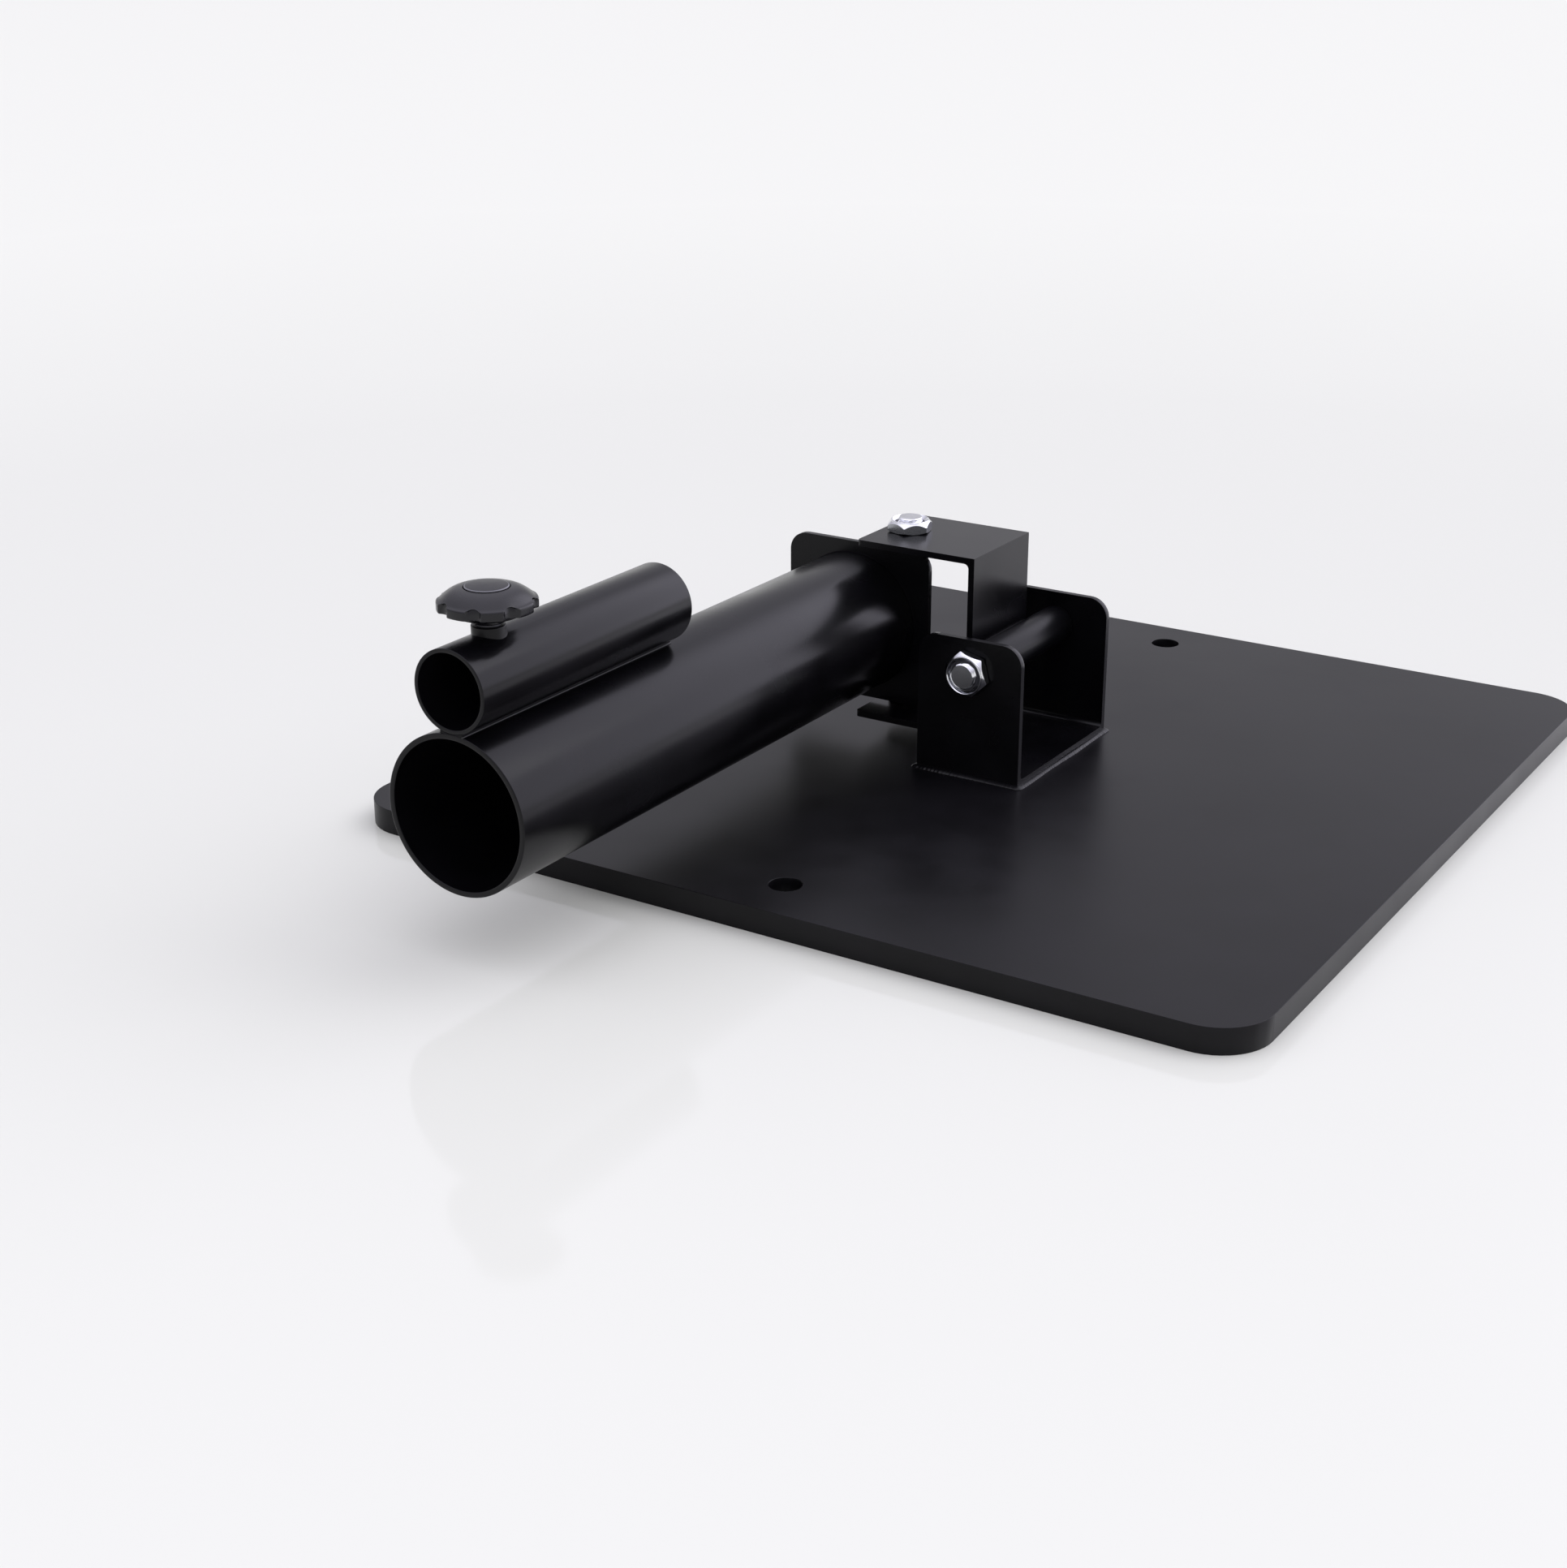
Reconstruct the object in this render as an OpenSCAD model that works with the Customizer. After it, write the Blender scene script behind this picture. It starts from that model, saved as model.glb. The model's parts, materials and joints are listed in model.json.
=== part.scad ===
// Barbell pivot attachment: a floor plate with a folded foot, a yoke that tips up and down on it,
// and a bar socket that swings from side to side in the yoke. A small bar tube with a clamp
// knob rides on the socket. Origin: middle of the plate's underside, +Z up. The socket is
// drawn swung round to the plate's near side, along -Y.

/* [Base plate] */
// Side of the square plate
base_w = 360; // [320:5:420]
// Thickness of the plate
base_t = 9.5; // [9:0.5:12]
// Radius of the plate's corners
base_r = 20; // [10:1:40]
// Diameter of the floor bolt holes
floor_hole_d = 12; // [8:0.5:14]
// Distance between the two floor bolt holes
floor_hole_span = 316; // [280:2:320]

/* [Foot bracket] */
// Width of the foot bracket along X
foot_w = 44; // [40:1:54]
// Width over the outsides of the two ears
foot_span = 75.5; // [74:0.5:80]
// Height of the ears' tops over the floor
foot_top = 65; // [63:0.5:68]
// Thickness of the folded sheet, foot and yoke alike
sheet_t = 2.5; // [2:0.1:3]
// Radius of the ears' top corners
ear_r = 8; // [3:0.5:10]
// Middle of the foot bracket along X, from the plate's middle
foot_x = 4; // [2:0.5:8]
// Middle of the foot bracket along Y, from the plate's middle
foot_y = 2.5; // [-6:0.5:6]

/* [Pivots] */
// Height of the horizontal pivot axis over the floor
pivot_z = 52; // [51:0.5:54]
// Diameter of the pivot bolt and the swivel bolt
bolt_d = 10; // [8:1:10]
// Outside diameter of the two sleeves that turn on the bolts
sleeve_d = 15; // [14.5:0.5:16]
// Distance of the swivel axis from the pivot axis
swivel_reach = 48.6; // [47:0.2:50]

/* [Yoke] */
// Width of the yoke along Y
yoke_w = 45; // [40:1:50]
// Height of the yoke's underside over the floor
yoke_low = 18.4; // [18.4:0.1:20]
// Height of the yoke's top over the floor
yoke_top = 91.5; // [90:0.5:96]
// Length of the yoke's flanges over the web
yoke_len = 51.8; // [51:0.2:54]

/* [Bar socket] */
// Outside diameter of the socket
socket_d = 56; // [56:0.5:60]
// Inside diameter of the socket, for a 50 mm bar sleeve
socket_bore = 52; // [51:0.5:54]
// Length of the socket in front of the swivel plate
socket_len = 247; // [200:1:300]
// Height of the socket's axis over the floor
socket_z = 54; // [53:0.5:56]
// Distance of the socket's axis from the swivel axis along X
socket_offset = 19.6; // [16:0.2:22]
// Side of the square swivel plate
plate_w = 64; // [60:1:65]
// Radius of the swivel plate's corners
plate_r = 7.5; // [3:0.5:10]

/* [Bar tube] */
// Outside diameter of the small bar tube
tube_d = 28.4; // [28:0.2:34]
// Inside diameter of the small bar tube, for a 25 mm bar
tube_bore = 25.5; // [25:0.5:27]
// Length of the small bar tube
tube_len = 114; // [90:1:130]
// Width of the joining strip between the two tubes
strip_w = 9; // [6:0.5:12]

/* [Clamp knob] */
// Distance of the clamp screw from the tube's open end
knob_back = 21; // [18:0.5:40]
// Diameter over the knob's lobes
knob_d = 32.5; // [28:0.5:40]
// Number of lobes
knob_lobes = 8; // [5:1:9]
// Diameter of the clamp screw
screw_d = 8; // [6:1:8]
// Diameter of the threaded boss on the tube and of the knob's neck
boss_d = 12.4; // [12:0.2:14]

/* [Hidden] */
$fn = 72;
fine = 360;

black_paint = [0.06, 0.06, 0.07];
chrome = [0.8, 0.8, 0.82];
black_plastic = [0.05, 0.05, 0.05];
weld_black = [0.1, 0.1, 0.11];
nylon = [0.85, 0.85, 0.8];
brass = [0.75, 0.6, 0.3];

// gaps and fits
eps = 0.01;
run_gap = 0.05;
side_gap = 0.3;
washer_gap = 0.3;
screw_gap = 0.2;
insert_gap = 0.2;

// fasteners: hexagon over flats, heights
hex_af = 1.6 * bolt_d;
hex_corner = hex_af / 2 / cos(30);
turned_r = hex_corner + 0.3;
turned_slope = 0.5;
corner_cut = 1.1;
head_h = 6.4;
low_head_h = 4;
nut_h = 4.4;
nut_cone = 1.05;
nut_rim_r = 0.76 * bolt_d;
rim_cut = 0.3;
nut_rim_h = 0.4;
nut_top = nut_h + nut_rim_h;
groove_deep = 3.2;
groove_low = nut_top - groove_deep;
groove_d = bolt_d + 2.6;
lip_t = 1.2;
lip_r = bolt_d / 2 + 0.9;
thread_out = 0.9;
end_cut = 0.4;
washer_d = 2 * bolt_d;
washer_t = 1.8;
pivot_nut_turn = -14;
swivel_nut_turn = -15;

// foot bracket
sheet_bend = 2;
ear_low_y = foot_y - foot_span / 2;
ear_inner = foot_span - 2 * sheet_t;
pivot_x = foot_x;
weld_leg = 2;
bead_round = 0.62;
weld_end = 2;
sleeve_bead = 4.2;
socket_bead = 0.8;

// yoke
yoke_corner = 1.5;
yoke_y = foot_y + 0.5;
web_x = pivot_x - sleeve_d / 2;
yoke_tip_x = web_x - yoke_len;
swivel_x = pivot_x - swivel_reach;

// swivel arm
plate_t = sheet_t;
plate_back_y = yoke_y - sleeve_d / 2;
plate_front_y = plate_back_y - plate_t;
plate_drop = 0.4;
plate_z = (yoke_low + yoke_top) / 2 - plate_drop;
plate_shift = 2.1;
socket_x = swivel_x - socket_offset;
plate_x = socket_x + plate_shift;
socket_mouth_y = plate_front_y - socket_len;
joint_gap = 0.1;
tube_z = socket_z + (socket_d + tube_d) / 2 + joint_gap;

// clamp knob, heights over the small tube's axis
knob_y = socket_mouth_y + knob_back;
boss_top = 16.9;
neck_gap = 0.9;
neck_low = boss_top + neck_gap;
neck_top = 19.4;
skirt_low = 20.3;
lobe_low = 21.9;
lobe_top = 25.2;
dome_top = 29.3;
dome_swell = 0.9;
scallop_r = 3.6;
scallop_depth = 1.9;
cap_d = 14.8;
cap_t = 2.4;
cap_edge = 0.6;
cap_edge_h = 0.5;
cap_crown_h = 0.8;
crown_flat = 0.5;
pad_low = tube_bore / 2 + run_gap;
pad_t = 1.2;
pad_in = 0.4;
pad_stem_d = 3;
pad_stem_h = 2.6;
rim_round = 0.7;
skirt_in = 5.2;
screw_top = 24.6;
insert_d = 10;

// Square with round corners, middle at the origin.
module round_square(w, h, r) {
    square([w - 2 * r, h], center = true);
    square([w, h - 2 * r], center = true);
    for (sx = [-1, 1])
        for (sy = [-1, 1])
            translate([sx * (w / 2 - r), sy * (h / 2 - r)]) circle(r);
}

// Upright outline with round top corners, its foot on the X axis.
module round_top(w, h, r) {
    translate([-w / 2, 0]) square([w, h - r]);
    translate([-w / 2 + r, 0]) square([w - 2 * r, h]);
    for (sx = [-1, 1])
        translate([sx * (w / 2 - r), h - r]) circle(r);
}

// Hexagon bar standing on Z = 0, cut back to a turned outline of radii and heights.
module turned_hex(h, outline) {
    intersection() {
        cylinder(h = h, r = hex_corner, $fn = 6);
        rotate_extrude() polygon(concat([[0, 0]], outline, [[0, h]]));
    }
}

// Hexagon bolt: head under Z = 0, shank up to the given length with a turned end.
module hex_bolt(head, shank) {
    translate([0, 0, -head])
        turned_hex(head, [[hex_corner - corner_cut, 0],
            [turned_r, (turned_r - hex_corner + corner_cut) * turned_slope], [turned_r, head]]);
    rotate_extrude()
        polygon([[0, -eps], [bolt_d / 2, -eps], [bolt_d / 2, shank - end_cut],
            [bolt_d / 2 - end_cut, shank], [0, shank]]);
}

// Low lock nut standing on Z = 0: hexagon, cone, hollowed rim, and a groove for the nylon ring.
module lock_nut() {
    difference() {
        turned_hex(nut_top, [[hex_corner - corner_cut, 0],
            [turned_r, (turned_r - hex_corner + corner_cut) * turned_slope],
            [turned_r, nut_h - (turned_r - nut_rim_r) * nut_cone], [nut_rim_r, nut_h],
            [nut_rim_r, nut_top - rim_cut], [nut_rim_r - rim_cut, nut_top]]);
        translate([0, 0, -1]) cylinder(h = groove_low + 1.5, d = bolt_d + 2 * run_gap);
        translate([0, 0, groove_low]) cylinder(h = nut_top - lip_t - groove_low, d = groove_d);
        translate([0, 0, nut_top - lip_t - 0.1])
            cylinder(h = lip_t + 0.2, r1 = lip_r, r2 = nut_rim_r - 2 * rim_cut);
    }
}

// Nylon ring in the groove of a lock nut, under its lip.
module lock_ring() {
    ring_h = nut_top - lip_t - groove_low - side_gap;
    translate([0, 0, groove_low + side_gap])
        difference() {
            cylinder(h = ring_h, d = groove_d);
            translate([0, 0, -1]) cylinder(h = ring_h + 2, d = bolt_d + 2 * run_gap);
        }
}

module flat_washer() {
    difference() {
        cylinder(h = washer_t, d = washer_d);
        translate([0, 0, -1]) cylinder(h = washer_t + 2, d = bolt_d + 2 * washer_gap);
    }
}

// Plain tube along Z.
module pipe(outer, inner, h) {
    difference() {
        cylinder(h = h, d = outer);
        translate([0, 0, -1]) cylinder(h = h + 2, d = inner);
    }
}

// Fillet weld along Z: a three-sided bead in the corner between two faces.
module bead(leg, h) {
    linear_extrude(h) polygon([[0, 0], [leg, 0], [leg * bead_round, leg * bead_round], [0, leg]]);
}

// Outline of the two beads between a face on the Y axis and the sleeve that rests on it.
module sleeve_beads() {
    for (side = [0, 1])
        mirror([0, side])
            polygon([[0, 0], [0, sleeve_bead], [sleeve_bead / 4, sleeve_bead * 0.97],
                [sleeve_bead / 2, sleeve_bead * 0.75]]);
}

// Puts a child's Z axis on the pivot axis, towards -Y, with Z = 0 on the near ear's face.
module on_pivot() {
    translate([pivot_x, ear_low_y, pivot_z]) rotate([90, 0, 0]) children();
}

// Puts a child's Z axis on the swivel axis, with Z = 0 at the given height.
module on_swivel(z) {
    translate([swivel_x, yoke_y, z]) children();
}

// Puts a child's Z axis on the clamp screw, with Z = 0 on the small tube's axis.
module on_clamp() {
    translate([socket_x, knob_y, tube_z]) children();
}

module base_plate() {
    color(black_paint)
        difference() {
            linear_extrude(base_t) round_square(base_w, base_w, base_r);
            for (s = [-1, 1])
                translate([0, s * floor_hole_span / 2, -1])
                    cylinder(h = base_t + 2, d = floor_hole_d);
        }
}

module foot_bracket() {
    h = foot_top - base_t;
    color(black_paint)
        translate([foot_x, foot_y, base_t])
            difference() {
                intersection() {
                    rotate([90, 0, 90])
                        linear_extrude(foot_w, center = true)
                            difference() {
                                translate([-foot_span / 2, 0]) square([foot_span, h]);
                                translate([0, h + 1])
                                    mirror([0, 1]) round_top(ear_inner, h + 1 - sheet_t, sheet_bend);
                            }
                    rotate([90, 0, 0])
                        linear_extrude(foot_span + 2, center = true) round_top(foot_w, h, ear_r);
                }
                translate([0, 0, pivot_z - base_t])
                    rotate([90, 0, 0])
                        cylinder(h = foot_span + 2, d = bolt_d + 2 * run_gap, center = true);
            }
}

module foot_weld() {
    color(weld_black)
        translate([foot_x, foot_y, base_t])
            for (s = [0, 180])
                rotate([0, 0, s]) {
                    translate([-foot_w / 2, -foot_span / 2, 0])
                        rotate([90, 0, 90]) rotate([0, 0, 90]) bead(weld_leg, foot_w);
                    translate([foot_w / 2, foot_span / 2, 0])
                        rotate([90, 0, 0]) bead(weld_leg, foot_span);
                }
}

module pivot_bolt() {
    shank = washer_t + foot_span + nut_top + thread_out;
    color(chrome)
        on_pivot()
            translate([0, 0, -foot_span - washer_t]) hex_bolt(head_h, shank);
}

module pivot_washer() {
    color(chrome) on_pivot() translate([0, 0, -foot_span - washer_t]) flat_washer();
}

module pivot_nut() {
    color(chrome) on_pivot() rotate([0, 0, pivot_nut_turn]) lock_nut();
}

module pivot_nut_ring() {
    color(nylon) on_pivot() lock_ring();
}

module yoke_bracket() {
    h = yoke_top - yoke_low;
    color(black_paint)
        difference() {
            intersection() {
                translate([0, yoke_y, yoke_low])
                    rotate([90, 0, 0])
                        linear_extrude(yoke_w, center = true)
                            difference() {
                                translate([yoke_tip_x, 0]) square([yoke_len, h]);
                                translate([yoke_tip_x - 1, h / 2])
                                    rotate(-90)
                                        round_top(h - 2 * sheet_t, yoke_len + 1 - sheet_t, sheet_bend);
                            }
                translate([web_x - yoke_len / 2, yoke_y, 0])
                    linear_extrude(yoke_top + 1)
                        rotate(90)
                            translate([0, -yoke_len / 2]) round_top(yoke_w, yoke_len, yoke_corner);
            }
            on_swivel(0) cylinder(h = yoke_top + 1, d = bolt_d + 2 * run_gap);
        }
}

module pivot_sleeve() {
    color(black_paint)
        translate([pivot_x, foot_y + ear_inner / 2 - side_gap, pivot_z])
            rotate([90, 0, 0])
                pipe(sleeve_d, bolt_d + 2 * run_gap, ear_inner - 2 * side_gap);
}

module yoke_weld() {
    color(weld_black)
        difference() {
            translate([web_x, yoke_y, pivot_z])
                rotate([90, 0, 0]) linear_extrude(yoke_w - 2 * weld_end, center = true) sleeve_beads();
            translate([pivot_x, yoke_y, pivot_z])
                rotate([90, 0, 0]) cylinder(h = yoke_w, d = sleeve_d, center = true, $fn = fine);
        }
}

module swivel_bolt() {
    shank = washer_t + yoke_top - yoke_low + nut_top + thread_out;
    color(chrome) on_swivel(yoke_low - washer_t) hex_bolt(low_head_h, shank);
}

module swivel_washer() {
    color(chrome) on_swivel(yoke_low - washer_t) flat_washer();
}

module swivel_nut() {
    color(chrome) on_swivel(yoke_top) rotate([0, 0, swivel_nut_turn]) lock_nut();
}

module swivel_nut_ring() {
    color(nylon) on_swivel(yoke_top) lock_ring();
}

module swivel_sleeve() {
    low = yoke_low + sheet_t + side_gap;
    color(black_paint)
        on_swivel(low)
            pipe(sleeve_d, bolt_d + 2 * run_gap, yoke_top - sheet_t - side_gap - low);
}

module swivel_plate() {
    color(black_paint)
        translate([plate_x, plate_back_y, plate_z])
            rotate([90, 0, 0]) linear_extrude(plate_t) round_square(plate_w, plate_w, plate_r);
}

module swivel_weld() {
    color(weld_black)
        difference() {
            translate([swivel_x, plate_back_y, plate_z - plate_w / 2 + plate_r])
                linear_extrude(plate_w - 2 * plate_r) rotate(90) sleeve_beads();
            on_swivel(0) cylinder(h = yoke_top, d = sleeve_d, $fn = fine);
        }
}

module bar_socket() {
    color(black_paint)
        translate([socket_x, plate_front_y, socket_z])
            rotate([90, 0, 0]) pipe(socket_d, socket_bore, socket_len);
}

module socket_weld() {
    r = socket_d / 2;
    color(weld_black)
        translate([socket_x, plate_front_y, socket_z])
            rotate([90, 0, 0])
                rotate_extrude()
                    polygon([[r, 0], [r + socket_bead, 0],
                        [r + socket_bead * bead_round, socket_bead * bead_round], [r, socket_bead]]);
}

module bar_tube() {
    color(black_paint)
        difference() {
            translate([socket_x, socket_mouth_y + tube_len, tube_z])
                rotate([90, 0, 0]) pipe(tube_d, tube_bore, tube_len);
            on_clamp() cylinder(h = tube_d, d = screw_d + 2 * screw_gap);
        }
}

module joining_strip() {
    color(weld_black)
        difference() {
            translate([socket_x - strip_w / 2, socket_mouth_y, socket_z + socket_d / 2 - 1])
                cube([strip_w, tube_len, 3]);
            translate([socket_x, socket_mouth_y - 1, socket_z])
                rotate([-90, 0, 0]) cylinder(h = tube_len + 2, d = socket_d, $fn = fine);
            translate([socket_x, socket_mouth_y - 1, tube_z])
                rotate([-90, 0, 0]) cylinder(h = tube_len + 2, d = tube_d, $fn = fine);
        }
}

module clamp_boss() {
    color(black_paint)
        on_clamp()
            difference() {
                cylinder(h = boss_top, d = boss_d);
                rotate([90, 0, 0]) cylinder(h = 2 * boss_d, d = tube_d, center = true);
                cylinder(h = boss_top + 1, d = screw_d + 2 * run_gap);
            }
}

module clamp_pad() {
    color(nylon)
        on_clamp() {
            translate([0, 0, pad_low]) cylinder(h = pad_t, d = screw_d - 2 * pad_in);
            translate([0, 0, pad_low]) cylinder(h = pad_t + pad_stem_h, d = pad_stem_d);
        }
}

module clamp_screw() {
    low = pad_low + pad_t + run_gap;
    color(chrome)
        on_clamp()
            difference() {
                translate([0, 0, low]) cylinder(h = screw_top - low, d = screw_d);
                translate([0, 0, low - 1]) cylinder(h = pad_stem_h + 1.5, d = pad_stem_d + 2 * run_gap);
            }
}

// Moulded knob: a scalloped rim under a shallow dome, cut from a revolved form.
module knob_grip() {
    r = knob_d / 2;
    rim = [r - rim_round, lobe_top];
    crown = [cap_d / 2 + crown_flat, dome_top];
    dome = [for (t = [0 : 0.125 : 1]) rim + (crown - rim) * t + [0, dome_swell * sin(180 * t)]];
    color(black_plastic)
        on_clamp()
            difference() {
                intersection() {
                    rotate_extrude()
                        polygon(concat([[0, neck_low], [boss_d / 2, neck_low], [boss_d / 2, neck_top],
                            [r - skirt_in, skirt_low], [r - skirt_in, lobe_low],
                            [r - rim_round, lobe_low],
                            [r, lobe_low + rim_round], [r, lobe_top - rim_round]],
                            dome, [[0, dome_top]]));
                    difference() {
                        translate([0, 0, neck_low - 1]) cylinder(h = dome_top, r = r + 1);
                        for (k = [0 : knob_lobes - 1])
                            rotate([0, 0, (k + 0.5) * 360 / knob_lobes])
                                translate([r - scallop_depth + scallop_r, 0, neck_low - 1])
                                    cylinder(h = dome_top, r = scallop_r);
                    }
                }
                translate([0, 0, dome_top - cap_t]) cylinder(h = cap_t + 1, d = cap_d);
                translate([0, 0, neck_low - 1]) cylinder(h = screw_top - neck_low + 1, d = insert_d);
            }
}

module knob_insert() {
    color(brass)
        on_clamp()
            translate([0, 0, neck_low + insert_gap])
                difference() {
                    cylinder(h = screw_top - neck_low - insert_gap, d = insert_d);
                    translate([0, 0, -1]) cylinder(h = dome_top, d = screw_d);
                }
}

module knob_cap() {
    color(black_plastic)
        on_clamp()
            translate([0, 0, dome_top - cap_t])
                rotate_extrude()
                    polygon([[0, 0], [cap_d / 2, 0], [cap_d / 2, cap_t],
                        [cap_d / 2 - cap_edge, cap_t + cap_edge_h], [0, cap_t + cap_crown_h]]);
}

base_plate();
foot_bracket();
foot_weld();
pivot_bolt();
pivot_washer();
pivot_nut();
pivot_nut_ring();
yoke_bracket();
pivot_sleeve();
yoke_weld();
swivel_bolt();
swivel_washer();
swivel_nut();
swivel_nut_ring();
swivel_sleeve();
swivel_plate();
swivel_weld();
bar_socket();
socket_weld();
bar_tube();
joining_strip();
clamp_boss();
clamp_pad();
clamp_screw();
knob_grip();
knob_insert();
knob_cap();
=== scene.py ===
import json
import math
import random

import bmesh
import bpy
from mathutils import Matrix, Vector


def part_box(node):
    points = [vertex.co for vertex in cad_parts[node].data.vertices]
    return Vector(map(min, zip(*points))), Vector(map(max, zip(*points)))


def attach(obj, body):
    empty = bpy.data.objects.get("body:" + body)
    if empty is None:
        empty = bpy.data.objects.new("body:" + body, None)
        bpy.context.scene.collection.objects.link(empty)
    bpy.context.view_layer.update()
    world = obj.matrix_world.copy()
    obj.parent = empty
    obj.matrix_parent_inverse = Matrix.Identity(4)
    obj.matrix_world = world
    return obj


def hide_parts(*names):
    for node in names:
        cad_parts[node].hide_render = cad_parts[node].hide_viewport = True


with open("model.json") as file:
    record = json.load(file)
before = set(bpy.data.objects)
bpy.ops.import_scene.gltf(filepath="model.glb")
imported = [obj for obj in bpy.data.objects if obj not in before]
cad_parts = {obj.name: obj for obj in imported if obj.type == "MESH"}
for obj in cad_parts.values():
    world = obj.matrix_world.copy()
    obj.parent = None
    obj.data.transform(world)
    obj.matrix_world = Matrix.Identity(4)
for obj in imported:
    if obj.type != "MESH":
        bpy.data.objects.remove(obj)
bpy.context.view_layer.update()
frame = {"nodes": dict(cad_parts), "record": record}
MM = 0.001
nodes = frame["nodes"]
NEAR = Vector((0, -1, 0))
ACROSS = Vector((1, 0, 0))
SKY = Vector((0, 0, 1))


# Small helpers

def turns(count):
    """The angles of one full turn in even steps."""
    return [2 * math.pi * k / count for k in range(count)]


def arc_steps(count):
    """The angles of a quarter turn in even steps, both ends included."""
    return [0.5 * math.pi * k / count for k in range(count + 1)]


def mid(node):
    low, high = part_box(node)
    return (low + high) / 2


def axis_frame(along, start_side):
    """Two directions square to an axis, the first one as near as can be to start_side."""
    side = (start_side - along * start_side.dot(along)).normalized()
    return side, along.cross(side)


def swung(vector, axis, degrees):
    return Matrix.Rotation(math.radians(degrees), 3, axis) @ vector


def link_object(name, data):
    obj = bpy.data.objects.new(name, data)
    bpy.context.scene.collection.objects.link(obj)
    return obj


def mark_sharp(bm, degrees):
    """Marks each edge as sharp whose two faces meet at more than the angle."""
    limit = math.radians(degrees)
    for edge in bm.edges:
        edge.smooth = not (len(edge.link_faces) == 2 and edge.calc_face_angle(0) > limit)


def link_mesh(name, bm, material, smooth_angle=35):
    """Makes an object from a bmesh, smooth shaded up to the given angle between faces."""
    bmesh.ops.recalc_face_normals(bm, faces=bm.faces)
    for face in bm.faces:
        face.smooth = True
    mark_sharp(bm, smooth_angle)
    mesh = bpy.data.meshes.new(name)
    bm.to_mesh(mesh)
    bm.free()
    mesh.materials.append(material)
    return link_object(name, mesh)


def second_look(obj, material, faces):
    """Gives a range of an object's faces a second material."""
    obj.data.materials.append(material)
    for face in obj.data.polygons[faces]:
        face.material_index = 1


def stand_for(obj, body, slot, *replaced):
    """Puts an object on a body, in place of any CAD nodes that are named. The slot is not used."""
    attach(obj, body)
    if replaced:
        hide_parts(*replaced)
    return obj


# Skins over rows of points

def skin(rows, wrap):
    """Faces between rows of points, each row a closed turn. wrap joins the last to the first."""
    bm = bmesh.new()
    grid = [[bm.verts.new(p) for p in row] for row in rows]
    count = len(rows[0])
    for low, high in zip(grid, grid[1:] + grid[:1] if wrap else grid[1:]):
        for k in range(count):
            nxt = (k + 1) % count
            bm.faces.new((low[k], low[nxt], high[nxt], high[k]))
    return bm, grid


def ring_mesh(rows):
    """A skin over rows of points, closed by a centre point at both ends."""
    bm, grid = skin(rows, wrap=False)
    for row in (grid[0], grid[-1]):
        middle = bm.verts.new(sum((v.co for v in row), Vector()) / len(row))
        for one, two in zip(row, row[1:] + row[:1]):
            bm.faces.new((one, two, middle))
    return bm


def closed_rows(rows):
    """A skin over rows of points that come back to the first row."""
    return skin(rows, wrap=True)[0]


def circle(centre, side, other, radius, angles):
    return [centre + (side * math.cos(a) + other * math.sin(a)) * radius for a in angles]


def lathe(name, base, along, profile, segments, material, smooth_angle=35):
    """Turns a closed profile of radii and heights round an axis."""
    side, other = axis_frame(along, along.orthogonal())
    angles = turns(segments)
    rows = [circle(base + along * height, side, other, radius, angles)
            for radius, height in profile]
    return link_mesh(name, closed_rows(rows), material, smooth_angle)


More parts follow.
